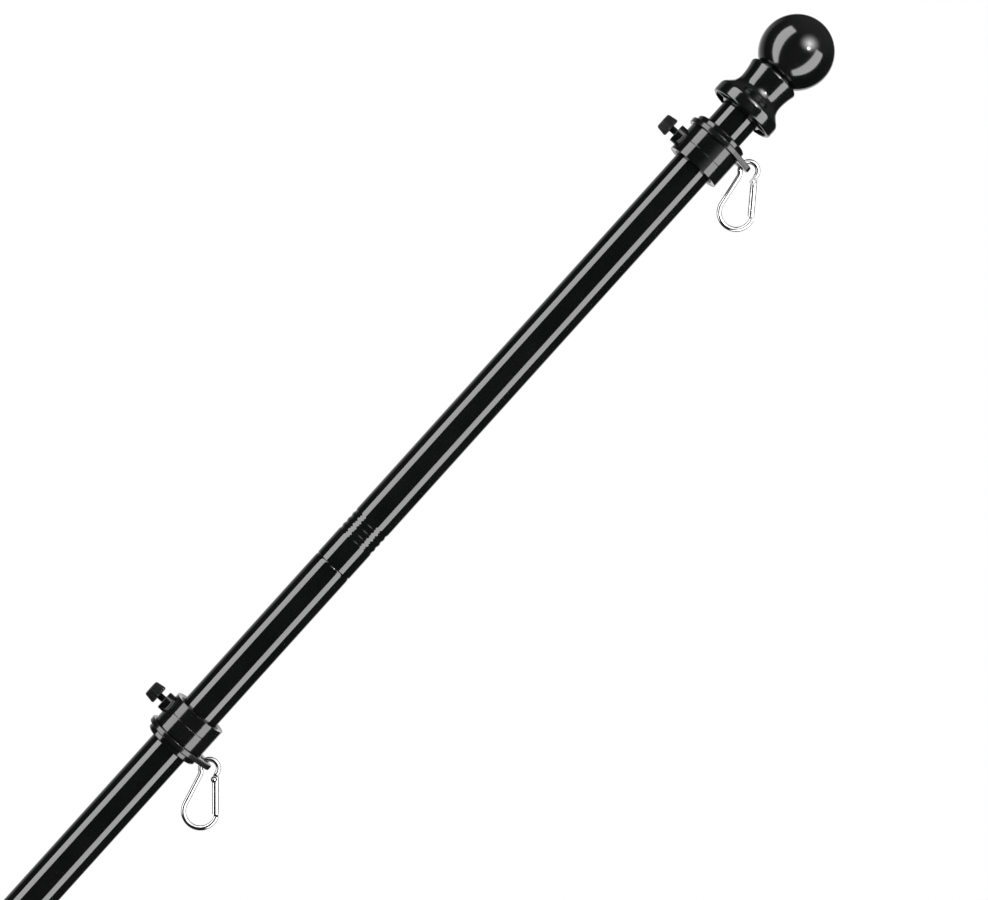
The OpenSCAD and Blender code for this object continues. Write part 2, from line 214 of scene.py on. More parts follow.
def fresh_tree(owner):
    """The node tree of a lamp, a world or a material, emptied."""
    owner.use_nodes = True
    owner.node_tree.nodes.clear()
    return Tree(owner.node_tree)


# %% [markdown]
# ## The studio
# Gloss black shows almost nothing of its own: it shows the lamps. The photograph has two
# clean grey stripes along every tube, so two long soft boxes stand beside the pole, left
# and right of the camera and parallel to the pole. The room in front stays dark, or the
# black would turn grey. The flat tabs of the turning rings mirror a place of their own, so
# a card beside the right box lights the rings, and those alone.

# %% Soft boxes
AIM = AXIS * 1.3
UP = Vector((0, 0, 1))
hook_parts, ring_parts, barrel_parts = (
    bpy.data.collections.new(name + " parts") for name in ("Hook", "Ring", "Barrel"))


def lamp(name, where, width, height, radiance, up=AXIS, target=AIM, shape="RECTANGLE"):
    """An area lamp that faces its target and looks equally bright wherever it stands."""
    data = bpy.data.lights.new(name, "AREA")
    data.shape = shape
    data.size, data.size_y = width, height
    area = width * height * (pi / 4 if shape == "ELLIPSE" else 1)
    data.energy = radiance * pi * area
    z_axis = (where - target).normalized()
    x_axis = up.cross(z_axis).normalized()
    light = bpy.data.objects.new(name, data)
    light.matrix_world = (place(where, x_axis, z_axis.cross(x_axis), z_axis)
                          @ Matrix.Scale(1 / MM, 4))
    light.visible_camera = False
    scene.collection.objects.link(light)
    return light


def card(name, angles, span, radiance, group=None, centre=Vector(), front=-SIDE, right=-SKY,
         up=AXIS, distance=0.6):
    """A flat lamp that covers a span of angles round a line, and of height along it.

    Angles are seen from the line, which is the pole's unless told otherwise. 0 is in front.
    With a group, the lamp shines on the pieces in it and on nothing else.
    """
    middle, half = radians(sum(angles) / 2), radians((angles[1] - angles[0]) / 2)
    outwards = front * cos(middle) + right * sin(middle)
    target = centre + up * sum(span) / 2
    light = lamp(name, target + outwards * distance, 2 * distance * tan(half),
                 span[1] - span[0], radiance, up, target)
    light.light_linking.receiver_collection = group
    return light


card("Left soft box", (-78.5, -46.5), (0.1, 2.0), 3.0)
card("Right soft box", (44.6, 76), (0.62, 2.0), 3.0)
card("Tab card", (76, 95), (1.2, 2.0), 2.0, ring_parts)
print("Lamps:", sorted(light.name for light in bpy.data.lights))

# %% [markdown]
# The compact highlights come from one wide oval lamp, beyond the top of the pole and on the
# camera's side. They aren't hard dots: each has a hot core and a glow that fades round it,
# as a bare bulb in a wide reflector has. A lamp can have nodes too. Its own surface
# coordinates say how far a point is from the middle, and the brightness falls with that.
# The core sits off the middle of the glow, so the two show apart on the ball. The barrels
# grow a little lighter towards their right stripe, so they get a card that fades.

# %% Lamps that fade
CORE, CORE_SPAN = 50.0, (0.03, 0.055)
GLOW, GLOW_FALL = 7.4, 2.5
SPARK_SIZE = (1.2, 1.0)
CARD_GLOW, CARD_FALL = 0.45, 1.6


def start_nodes(light):
    """An empty tree for a lamp, and a point's place across and along it, from 0 to 1."""
    make = fresh_tree(light.data)
    return make, make.add("ShaderNodeNewGeometry").outputs["Parametric"]


def end_nodes(make, strength):
    """Gives the lamp its brightness, which may differ from point to point."""
    emission = make.out("ShaderNodeEmission", {"Strength": strength})
    make.add("ShaderNodeOutputLight", {"Surface": emission})


def hot_core(light, middle, core_way):
    """A small hot core, and a glow that fades to nothing at the lamp's rim."""
    offset = core_way / core_way.dot(middle) - middle
    across, along = light.matrix_world.col[0].xyz, light.matrix_world.col[1].xyz
    core_spot = (0.5 + offset.dot(across) / light.data.size,
                 0.5 + offset.dot(along) / light.data.size_y, 0)
    make, spot = start_nodes(light)
    away, from_core = (make.vector("DISTANCE", spot, target, output="Value")
                       for target in ((0.5, 0.5, 0), core_spot))
    soft = make.math("MAXIMUM", make.math("MULTIPLY_ADD", away, -2.0, 1.0), 0.0)
    hot = make.fade(from_core, CORE_SPAN, CORE, 0.0)
    end_nodes(make, make.math("MULTIPLY_ADD", make.math("POWER", soft, GLOW_FALL), GLOW, hot))


def fading_card(light):
    """Bright at one long edge and dark at the other."""
    make, spot = start_nodes(light)
    across = make.add("ShaderNodeSeparateXYZ", {0: spot}).outputs["X"]
    end_nodes(make, make.math("MULTIPLY", make.math("POWER", across, CARD_FALL), CARD_GLOW))


glow_way = (AXIS * 0.735 - SIDE * 0.665 - SKY * 0.17).normalized()
core_way = (AXIS * 0.59 - SIDE * 0.76 - SKY * 0.29).normalized()
spark = lamp("Spark", AIM + glow_way, *SPARK_SIZE, 1.0, up=UP, shape="ELLIPSE")
hot_core(spark, glow_way, core_way)
fading_card(card("Barrel card", (4, 44), (1.3, 1.62), 1.0, barrel_parts))
print("Core and glow lie", round(degrees(glow_way.angle(core_way))), "degrees apart")

# %% [markdown]
# Behind the object hangs a pale backdrop, and on the left it curves forward a little. That
# is why every tube has a faint grey gradient along its left edge and none along its right.
# High up, where the pole points, the room is a little lighter. Only the ball mirrors that.

# %% World
# How bright the room is: for diffuse light, in front, on its curved left and high up
FILL, DARK_ROOM, WRAP, CEILING = 0.22, 0.015, 0.5, 0.08
# Where each part of it starts and is full, as a share of straight back, left and up the pole
BACK_SPAN, CURVE_SPAN, LEFT_SPAN, UP_SPAN = (0.84, 0.9), (0.42, 0.84), (-0.1, -0.4), (0.35, 0.9)
world = bpy.data.worlds.new("Studio")
scene.world = world
air = fresh_tree(world)
ray = air.add("ShaderNodeLightPath").outputs
facing = air.add("ShaderNodeTexCoord").outputs["Generated"]
direction = air.add("ShaderNodeSeparateXYZ", {0: facing}).outputs
backdrop = air.fade(direction["Y"], BACK_SPAN, DARK_ROOM)
leftward = air.fade(direction["X"], LEFT_SPAN)
curve = air.fade(direction["Y"], CURVE_SPAN, high=WRAP)
backdrop = air.math("MAXIMUM", backdrop, air.math("MULTIPLY", leftward, curve))
upward = air.vector("DOT_PRODUCT", facing, AXIS, output="Value")
upward = air.fade(upward, UP_SPAN, high=CEILING)
backdrop = air.math("MAXIMUM", backdrop, upward)
seen = air.math("MAXIMUM", ray["Is Camera Ray"], ray["Is Transmission Ray"])
around = air.out("ShaderNodeMix", {0: ray["Is Glossy Ray"], 2: FILL, 3: backdrop})
level = air.out("ShaderNodeMix", {0: seen, 2: around, 3: 1.0})
sky = air.out("ShaderNodeBackground", {"Color": (1, 1, 1, 1), "Strength": level})
air.add("ShaderNodeOutputWorld", {"Surface": sky})
print("World: white to the camera, fill", FILL)

# %% [markdown]
# ## Finishes
# The tubes are painted gloss black, the finial and the collars are moulded in black
# plastic, and the hooks are nickel plated. Even new paint isn't a perfect mirror: it has a
# faint orange peel, and its gloss changes a little from place to place. Noise on Object
# coordinates gives both.

# %% A recipe for finishes
COLOUR_SPAN, GLOSS_SPAN = (0.35, 0.65), (0.3, 0.7)
MICRON = 1e-6


def finish(name, colours, gloss, ripple, ripple_height, cloud=40.0, **fixed):
    """Two close colours and two roughnesses, mixed by soft clouds, and a fine ripple.

    Cloud and ripple are how many waves fit in a metre, ripple_height is in metres.
    """
    material = bpy.data.materials.new(name)
    make = fresh_tree(material)
    spot = make.add("ShaderNodeTexCoord").outputs["Object"]
    clouds = make.out("ShaderNodeTexNoise", {"Vector": spot, "Scale": cloud, "Detail": 3.0})
    ramp = make.add("ShaderNodeValToRGB", {"Fac": clouds})
    for stop, colour, position in zip(ramp.color_ramp.elements, colours, COLOUR_SPAN):
        stop.color = (*colour, 1)
        stop.position = position
    grain = make.out("ShaderNodeTexNoise", {"Vector": spot, "Scale": ripple, "Detail": 2.0})
    bump = make.out("ShaderNodeBump", {"Height": grain, "Strength": 1.0,
                                       "Distance": ripple_height})
    shader = make.out("ShaderNodeBsdfPrincipled", {
        "Base Color": ramp.outputs[0], "Roughness": make.fade(clouds, GLOSS_SPAN, *gloss),
        "Normal": bump, **fixed})
    make.add("ShaderNodeOutputMaterial", {"Surface": shader})
    return material


FINISHES = {
    "tube_black": finish(
        "Gloss black paint", ((0.0032, 0.0036, 0.0036), (0.0056, 0.006, 0.0058)),
        (0.03, 0.06), 700, 1.5 * MICRON, IOR=2.0),
    "finial_black": finish(
        "Gloss black plastic", ((0.003, 0.0034, 0.0034), (0.0056, 0.006, 0.0058)),
        (0.1, 0.15), 500, 2 * MICRON, IOR=2.0),
    "collar_black": finish(
        "Moulded black plastic", ((0.0034, 0.0038, 0.0038), (0.0064, 0.0068, 0.0066)),
        (0.07, 0.12), 900, 3 * MICRON, IOR=1.9),
    "ring_black": finish(
        "Satin black plastic", ((0.004, 0.0044, 0.0044), (0.008, 0.0084, 0.0082)),
        (0.12, 0.17), 1400, 3 * MICRON, IOR=1.85),
    "liner_black": finish(
        "Soft black plastic", ((0.006, 0.0062, 0.0064), (0.011, 0.0115, 0.012)),
        (0.35, 0.5), 2200, 8 * MICRON, IOR=1.5),
    "knob_black": finish(
        "Grained black plastic", ((0.005, 0.0054, 0.0056), (0.012, 0.0124, 0.0126)),
        (0.22, 0.36), 2600, 30 * MICRON, IOR=1.6),
    "shank_black": finish(
        "Blackened steel", ((0.02, 0.021, 0.023), (0.05, 0.05, 0.052)),
        (0.22, 0.38), 3000, 4 * MICRON, Metallic=1.0),
    "hook_chrome": finish(
        "Bright nickel", ((0.78, 0.785, 0.79), (0.86, 0.862, 0.865)),
        (0.1, 0.15), 1500, 1 * MICRON, Metallic=1.0),
    "insert_steel": finish(
        "Turned steel", ((0.5, 0.5, 0.51), (0.62, 0.62, 0.63)),
        (0.2, 0.34), 2500, 4 * MICRON, Metallic=1.0),
}
print("Finishes for the slots", ", ".join(FINISHES))

# %% [markdown]
# ## Turning a drawing into a mesh
# Almost everything on this pole came off a lathe or out of a round mould. So the main tool
# is a lathe of our own: a closed outline of radius and height, turned round the Z axis. A
# corner that is perfectly sharp looks false because it never catches light, so a second
# helper rounds the corners of an outline first.

# %% Arcs, rounded corners and the lathe
FLAT_CORNER, LONGEST_CUT = 88, 0.45


def arc(centre_r, centre_z, radius, start, end, steps=8):
    """Points on an arc in degrees, both ends included."""
    angles = [radians(start + (end - start) * i / steps) for i in range(steps + 1)]
    return [(centre_r + radius * cos(a), centre_z + radius * sin(a)) for a in angles]


def rounded(points, radius, steps=4, sharp=()):
    """A closed outline with its corners rounded, apart from the ones listed in sharp."""
    result = []
    for i, point in enumerate(points):
        corner = Vector(point)
        before = Vector(points[i - 1]) - corner
        after = Vector(points[(i + 1) % len(points)]) - corner
        half = before.angle(after) / 2
        if i in sharp or half > radians(FLAT_CORNER):
            result.append(point)
            continue
        shorter = min(before.length, after.length)
        reach = min(radius / tan(half), shorter * LONGEST_CUT)
        before, after = before.normalized(), after.normalized()
        start, end = corner + before * reach, corner + after * reach
        bow = reach * tan(half)
        centre = corner + (before + after).normalized() * bow / sin(half)
        for k in range(steps + 1):
            spoke = (start - centre).slerp(end - centre, k / steps)
            result.append(centre + spoke.normalized() * bow)
    return result


def subdivided(points, longest):
    """An outline whose long sides are cut up, so that a rule can bend them."""
    result = []
    for i, point in enumerate(points):
        here, there = Vector(point), Vector(points[(i + 1) % len(points)])
        cuts = max(1, ceil((there - here).length / longest))
        result += [here.lerp(there, k / cuts) for k in range(cuts)]
    return result


def circle(x, radius, steps):
    """Points on a whole circle round (x, 0)."""
    return [(x + radius * cos(tau * i / steps), radius * sin(tau * i / steps))
            for i in range(steps)]


def raw_mesh(vertices=(), edges=(), faces=()):
    mesh = bpy.data.meshes.new("drawing")
    mesh.from_pydata(vertices, edges, faces)
    return mesh


def mesh_of(shape):
    """A mesh with what a bmesh holds, which is then freed."""
    mesh = raw_mesh()
    shape.to_mesh(mesh)
    shape.free()
    return mesh


def solid(vertices, faces):
    """A closed mesh: double points merged and all faces turned outwards."""
    shape = bmesh.new()
    shape.from_mesh(raw_mesh(vertices, faces=faces))
    bmesh.ops.remove_doubles(shape, verts=shape.verts, dist=1e-5)
    bmesh.ops.recalc_face_normals(shape, faces=shape.faces)
    return mesh_of(shape)


def strips(columns, count, rings):
    """Faces between rings of count points each. After the last ring comes the first."""
    faces = []
    for i in range(columns):
        left, right = i * count, (i + 1) % rings * count
        for k in range(count):
            top = (k + 1) % count
            faces.append((left + k, right + k, right + top, left + top))
    return faces


def lathe(outline, steps=128, turns=None):
    """Turns a closed outline of (radius, height) round Z. Turns may give an open arc."""
    angles = turns or [tau * i / steps for i in range(steps)]
    vertices, count = [], len(outline)
    for angle in angles:
        for radius, height in outline:
            vertices.append((radius * cos(angle), radius * sin(angle), height))
    faces = strips(len(angles) - (1 if turns else 0), count, len(angles))
    if turns:
        faces += [tuple(range(count))[::-1], tuple(range(len(vertices) - count, len(vertices)))]
    return solid(vertices, faces)


# %% [markdown]
# Points on the axis would make faces with no area, so double points are merged. Modifiers
# do the rest: each takes a mesh, and a new one comes out. The last helper hands a piece
# over. It keeps an edge crisp where two faces meet at an angle, and lets the large faces
# decide the shading, which keeps long mirrors such as a tube free of dents.

# %% Shaping, placing and handing over a piece
SHARP = 38


def blank(name, mesh):
    """An object at the origin, with the mesh as it is."""
    obj = bpy.data.objects.new(name, mesh)
    scene.collection.objects.link(obj)
    return obj


def shaped(mesh, kind, values=(), **settings):
    """What one modifier makes of a mesh. Values are for the inputs of a node tree."""
    obj = blank("work", mesh)
    modifier = obj.modifiers.new(kind, kind)
    for name, value in settings.items():
        setattr(modifier, name, value)
    for key, value in dict(values).items():
        modifier[key] = value
    bpy.context.view_layer.update()
    seen_by_render = obj.evaluated_get(bpy.context.evaluated_depsgraph_get())
    result = bpy.data.meshes.new_from_object(seen_by_render)
    bpy.data.objects.remove(obj)
    return result


def settle(name, mesh, matrix, body, slot, nodes=(), sharp=SHARP, group=None):
    """Smooths a piece, carries it to its place and hands it to its body.

    The group is for pieces that a lamp of their own shines on.
    """
    mesh.materials.clear()
    mesh.materials.append(FINISHES[slot])
    mesh.polygons.foreach_set("use_smooth", [True] * len(mesh.polygons))
    mesh.set_sharp_from_angle(angle=radians(sharp))
    mesh = shaped(mesh, "WEIGHTED_NORMAL", keep_sharp=True)
    mesh.transform(matrix)
    mesh.update()
    mesh.name = name
    obj = blank("seen_" + name, mesh)
    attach(obj, body)
    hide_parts(*(nodes or (obj.name.replace("seen_", ""),)))
    if group:
        group.objects.link(obj)
    low, high = (Vector(f(v.co[i] for v in mesh.vertices) for i in range(3)) for f in (min, max))
    print(f"{obj.name}: {len(mesh.polygons)} faces,",
          "x".join(f"{side / MM:.1f}" for side in high - low), "mm")


# %% [markdown]
# ## Geometry Nodes from a recipe
# A rolled groove, a grip flute and a screw thread are all a rule that pushes the skin of a
# round body in or out, and Geometry Nodes are made for rules. Each tree below has named
# inputs for its sizes, in millimetres, and ends by realizing its instances and setting the
# finish.

# %% Building and running a Geometry Nodes tree


class GeometryTree(Tree):
    """A Geometry Nodes tree with named inputs. The body of the tree is added after it."""

    def __init__(self, name, **sizes):
        tree = bpy.data.node_groups.new(name, "GeometryNodeTree")
        super().__init__(tree)

        def socket(label, kind, way="INPUT"):
            return tree.interface.new_socket(label, in_out=way, socket_type="NodeSocket" + kind)

        socket("Geometry", "Geometry")
        for label, value in sizes.items():
            socket(label, "Int" if isinstance(value, int) else "Float").default_value = value
        socket("Finish", "Material")
        socket("Geometry", "Geometry", "OUTPUT")
        self.inputs = tree.nodes.new("NodeGroupInput").outputs

    def pressed(self, geometry, depth):
        """Moves every point towards the Z axis by depth."""
        spot = self.out("GeometryNodeInputPosition")
        spoke = self.vector("NORMALIZE", self.vector("MULTIPLY", spot, (1, 1, 0)))
        step = self.vector("MULTIPLY", spoke, self.math("MULTIPLY", depth, -1.0))
        return self.out("GeometryNodeSetPosition", {"Geometry": geometry, "Offset": step})

    def position(self):
        spot = self.out("GeometryNodeInputPosition")
        return self.add("ShaderNodeSeparateXYZ", {0: spot}).outputs

    def end(self, geometry):
        real = self.out("GeometryNodeRealizeInstances", {"Geometry": geometry})
        done = self.out("GeometryNodeSetMaterial", {"Geometry": real,
                                                    "Material": self.inputs["Finish"]})
        self.add("NodeGroupOutput", {0: done})
        return self.tree


def grow(mesh, tree, slot, **sizes):
    """What a tree makes of a mesh, with other sizes than its usual ones if given."""
    sizes["Finish"] = FINISHES[slot]
    values = {item.identifier: sizes[item.name] for item in tree.interface.items_tree
              if item.in_out == "INPUT" and item.name in sizes}
    return shaped(mesh, "NODES", values, node_group=tree)


# %% [markdown]
# ## The tubes
# Each tube is drawn steel, one inch thick, with its upper mouth rolled round. Above each
# seam the next tube is pressed onto a plug by four rolled grooves. A roller leaves soft
# waves, so the rule below is a cosine, with no slope at its edges and at its deepest point.
# The wall keeps its thickness, so the inside follows.

# %% Rolled grooves as a rule
POLE_R = 12.7
WALL = 1.2
SECTION_L = 381.0
CROWN_R, CROWN_L = 0.85, 3.0
FOOT_CHAMFER = 0.3
FIRST_GROOVE = 21.05

rolled = GeometryTree("Rolled grooves", Count=4, First=FIRST_GROOVE, Pitch=4.3, Width=3.7,
                      Depth=0.45)
size, calc = rolled.inputs, rolled.math
height = rolled.position()["Z"]
place_in_row = calc("DIVIDE", calc("SUBTRACT", height, size["First"]), size["Pitch"])
nearest = calc("MAXIMUM", calc("ROUND", place_in_row), 0.0)
nearest = calc("MINIMUM", nearest, calc("SUBTRACT", size["Count"], 1.0))
away = calc("ABSOLUTE", calc("SUBTRACT", place_in_row, nearest))
away = calc("DIVIDE", calc("MULTIPLY", away, size["Pitch"]), size["Width"])
wave = calc("COSINE", calc("MULTIPLY", calc("MINIMUM", away, 0.5), tau))
wave = calc("MULTIPLY_ADD", wave, 0.5, 0.5)
wave = calc("MULTIPLY", wave, size["Depth"])
rolled_tree = rolled.end(rolled.pressed(size["Geometry"], wave))
print("Tree", rolled_tree.name, "has", len(rolled_tree.nodes), "nodes")

# %% Four tubes
GROOVE_ZONE, GROOVE_STEP = (16.0, 42.0), 0.26
INNER_R, LIP, PLAIN_END = POLE_R - WALL, 0.2, 5

# Rings lie close together where the grooves will be
start, end = GROOVE_ZONE
zone = [start + GROOVE_STEP * i for i in range(round((end - start) / GROOVE_STEP) + 1)]
tube_outline = [(POLE_R - FOOT_CHAMFER, 0.0), (POLE_R, FOOT_CHAMFER), (POLE_R, 1.0)]
tube_outline += [(POLE_R, z) for z in zone] + [(POLE_R, SECTION_L - PLAIN_END)]
tube_outline += [(POLE_R - CROWN_R + CROWN_R * x, SECTION_L - CROWN_L + CROWN_L * z)
                 for x, z in arc(0, 0, 1, 0, 90, 14)]
tube_outline += [(INNER_R, SECTION_L - LIP), (INNER_R, SECTION_L - PLAIN_END)]
tube_outline += [(INNER_R, z) for z in zone[::-2]] + [(INNER_R, LIP), (INNER_R + LIP, 0.0)]
for number in range(1, 5):
    tube = lathe(tube_outline)
    if number > 1:
        tube = grow(tube, rolled_tree, "tube_black")
    foot = pole_place((number - 1) * SECTION_L)
    settle(f"pole_section_{number}", tube, foot, "root", "tube_black")

# %% [markdown]
# ## The finial
# The bell is a moulding: a rounded foot, a shoulder, a hollow sweep to a narrow waist and a
# long flare up to the ball. Every arc runs into the next without a corner, so the stripes
# of light flow over it unbroken. Below it is hollow, with a socket for the tube and eight
# thin ribs. The ribs repeat round a circle, which is a task for instances.

# %% Bell with its ribbed foot
BELL_H, SOCKET_L = 31.3, 10.0
FINIAL_Z = 4 * SECTION_L - SOCKET_L
FOOT_R, FOOT_EDGE = 22.3, 1.6
SHOULDER_R, SHOULDER_Z = 4.5, 5.8
SWEEP_R, WAIST_R, FLARE_R, BELL_EDGE = 9.0, 15.5, 36.0, 2.2
SOCKET_R, SOCKET_WALL, RIM_WALL = 12.75, 1.8, 2.4
HOLLOW_H, THROAT_R, THROAT_TOP = 6.0, 10.5, 26.0
SOCKET_EDGE, HOLLOW_EDGE = 0.4, 0.5
BALL_R, BALL_SEAT_R = 23.4, 13.1

diagonal = FOOT_R - SHOULDER_R + SHOULDER_Z + 2 * SHOULDER_R * cos(pi / 4)
waist_z = diagonal - WAIST_R - SWEEP_R + 2 * SWEEP_R * cos(pi / 4)
flare_angle = degrees(asin((BELL_H - BELL_EDGE - waist_z) / (FLARE_R + BELL_EDGE)))
flare_centre = (WAIST_R + FLARE_R, waist_z)
reach = FLARE_R + BELL_EDGE
edge_centre = (flare_centre[0] - reach * cos(radians(flare_angle)),
               flare_centre[1] + reach * sin(radians(flare_angle)))
bell = arc(FOOT_R - FOOT_EDGE, FOOT_EDGE, FOOT_EDGE, -90, 0, 10)
bell += arc(FOOT_R - SHOULDER_R, SHOULDER_Z, SHOULDER_R, 0, 45, 10)
bell += arc(WAIST_R + SWEEP_R, waist_z, SWEEP_R, 225, 180, 18)
bell += arc(*flare_centre, FLARE_R, 179, 180 - flare_angle, 12)
bell += arc(*edge_centre, BELL_EDGE, -flare_angle, 90, 12)
socket_out, rim_in = SOCKET_R + SOCKET_WALL, FOOT_R - RIM_WALL
bell += [
    (0.0, BELL_H), (0.0, THROAT_TOP), (THROAT_R, THROAT_TOP), (THROAT_R, SOCKET_L),
    (SOCKET_R, SOCKET_L), (SOCKET_R, SOCKET_EDGE), (SOCKET_R + SOCKET_EDGE, 0.0),
    (socket_out - SOCKET_EDGE, 0.0), (socket_out, SOCKET_EDGE),
    (socket_out, HOLLOW_H - HOLLOW_EDGE), (socket_out + HOLLOW_EDGE, HOLLOW_H),
    (rim_in - HOLLOW_EDGE, HOLLOW_H), (rim_in, HOLLOW_H - HOLLOW_EDGE),
    (rim_in, HOLLOW_EDGE), (rim_in + HOLLOW_EDGE, 0.0)]

ribbed = GeometryTree("Ribs round a socket", Count=8, Middle=(socket_out + rim_in) / 2,
                      Length=rim_in - socket_out + 0.6, Thickness=1.2, Height=5.4, Bottom=0.8)
size = ribbed.inputs
ring_of_points = ribbed.out("GeometryNodeMeshCircle", {"Vertices": size["Count"],
                                                       "Radius": size["Middle"]})
rib_size = ribbed.out("ShaderNodeCombineXYZ", {"X": size["Length"], "Y": size["Thickness"],
                                               "Z": size["Height"]})
rib = ribbed.out("GeometryNodeMeshCube", {"Size": rib_size})
spot = ribbed.out("GeometryNodeInputPosition")
outward = ribbed.out("FunctionNodeAlignRotationToVector", {"Vector": spot}, axis="X")
ribs = ribbed.out("GeometryNodeInstanceOnPoints", {"Points": ring_of_points, "Instance": rib,
                                                   "Rotation": outward})
lift = ribbed.math("MULTIPLY_ADD", size["Height"], 0.5, size["Bottom"])
lift = ribbed.out("ShaderNodeCombineXYZ", {"Z": lift})
ribs = ribbed.out("GeometryNodeTransform", {"Geometry": ribs, "Translation": lift})
both = ribbed.add("GeometryNodeJoinGeometry")
for part in (ribs, size["Geometry"]):
    ribbed.tree.links.new(part, both.inputs[0])
ribbed_tree = ribbed.end(both.outputs[0])
base = grow(lathe(bell, 160), ribbed_tree, "finial_black")
settle("finial_base", base, pole_place(FINIAL_Z), "root", "finial_black")

# %% [markdown]
# The ball stands on the bell's flat top. A narrow ledge is left round it, and the bell's
# rim falls away from there in a small arc.

# %% Ball
ball_z = BELL_H + sqrt(BALL_R**2 - BALL_SEAT_R**2)
seat_angle = degrees(asin((BELL_H - ball_z) / BALL_R))
ball = [(0.0, BELL_H)] + arc(0.0, ball_z, BALL_R, seat_angle, 90, 90)
settle("finial_ball", lathe(ball, 160), pole_place(FINIAL_Z), "root", "finial_black")

# %% [markdown]
# ## The collars
# A collar is a short moulded barrel with a boss for the thumb screw. A moulding has a
# parting line where the two halves of the mould met. Here it runs round the barrel, level
# with the boss. It is only a fifth of a millimetre deep, yet it cuts both stripes of light.
# The boss grows out of the round barrel with a fillet. Its foot follows the barrel's
# surface, so each point of the fillet takes its height from the circle below it. The
# barrel's mouth is a shallow dish, which mirrors the pale backdrop along its rim.

# %% Barrel with its boss
BARREL_R, BARREL_L, BORE_R = 17.95, 19.5, 14.45
BOSS_R, BOSS_X, BOSS_FILLET, BOSS_EDGE = 6.0, 21.8, 0.5, 0.5
BOSS_ROOT, BOSS_FLOOR, BOSS_CHAMFER, BOSS_SINK = 0.8, 1.6, 0.3, 0.01
INSERT_R, INSERT_L = 3.6, 4.4
SHANK_R, SHANK_HOLE_R = 2.25, 2.35
SCREW_Z = 9.0
PARTING_W, PARTING_D, PARTING_EDGE, PARTING_FLOOR = 0.2, 0.2, 0.12, 0.02
PARTING_LIP = 0.03
RIM_W, RIM_EDGE, DISH = 0.35, 0.1, 0.55

# A dished mouth, and a fine groove where the halves of the mould met
groove = [(BARREL_R, SCREW_Z - PARTING_W - PARTING_EDGE),
          (BARREL_R - PARTING_LIP, SCREW_Z - PARTING_W),
          (BARREL_R - PARTING_D, SCREW_Z - PARTING_FLOOR)]
groove += [(radius, 2 * SCREW_Z - height) for radius, height in reversed(groove)]
outline = rounded([(BORE_R, DISH), (BARREL_R - RIM_W, 0.0), (BARREL_R, 0.0),
                   (BARREL_R, BARREL_L), (BORE_R, BARREL_L)], RIM_EDGE)
mouth_side = [point for point in outline if point[1] < SCREW_Z]
barrel_outline = mouth_side + groove + outline[len(mouth_side):]


def boss_mesh(steps=96):
    """The boss, drawn along Z from the pole's axis, as rings of (distance, height)."""
    foot = [(BOSS_R + BOSS_FILLET, -BOSS_ROOT)]
    foot += arc(BOSS_R + BOSS_FILLET, BOSS_FILLET, BOSS_FILLET, 270, 180)
    top = arc(BOSS_R - BOSS_EDGE, BOSS_X - BOSS_EDGE, BOSS_EDGE, 0, 90, 5)
    top += [(INSERT_R + BOSS_CHAMFER, BOSS_X), (INSERT_R, BOSS_X - BOSS_CHAMFER),
            (INSERT_R, BOSS_X - INSERT_L), (SHANK_HOLE_R, BOSS_X - INSERT_L),
            (SHANK_HOLE_R, BORE_R + BOSS_FLOOR)]
    skin = BARREL_R - BOSS_SINK
    vertices = []
    for i in range(steps):
        cosine, sine = cos(tau * i / steps), sin(tau * i / steps)
        vertices += [(r * cosine, r * sine, sqrt(skin**2 - (r * sine)**2) + height)
                     for r, height in foot]
        vertices += [(r * cosine, r * sine, height) for r, height in top]
    return solid(vertices, strips(steps, len(foot) + len(top), steps))


def cut(mesh, tool_mesh, operation="DIFFERENCE"):
    """Cuts with, or adds, another closed mesh."""
    tool = blank("tool", tool_mesh)
    result = shaped(mesh, "BOOLEAN", operation=operation, solver="EXACT", object=tool)
    bpy.data.objects.remove(tool)
    return result


def rod(radius, low, high, matrix, steps=48):
    """A plain round rod, carried by a matrix."""
    mesh = lathe([(0.0, low), (radius, low), (radius, high), (0.0, high)], steps)
    mesh.transform(matrix)
    return mesh


def joined(*meshes):
    """One mesh out of several closed ones."""
    shape = bmesh.new()
    for mesh in meshes:
        shape.from_mesh(mesh)
    return mesh_of(shape)


# The screw's own axes as a turn of the collar's: Z along the screw, X along the pole
TO_SCREW = Matrix(((0, 0, -1, 0), (0, 1, 0, 0), (1, 0, 0, SCREW_Z), (0, 0, 0, 1)))

for which in COLLARS:
    boss = boss_mesh()
    boss.transform(TO_SCREW)
    hole = rod(SHANK_HOLE_R, BORE_R - 2, BARREL_R + 1, TO_SCREW)
    barrel = cut(lathe(barrel_outline, 144), hole)
    settle(which + "_barrel", joined(barrel, boss), collar_place(which), which + "_collar",
           "collar_black", group=barrel_parts)

# %% [markdown]
# The neck carries the turning ring, and the flange at its end keeps the ring on. The ring
# is a flat plate with a tab, and the hook hangs in the tab's eyelet. Its two holes make it
# hard to turn on a lathe, so its outline is filled, given its thickness and then bevelled.

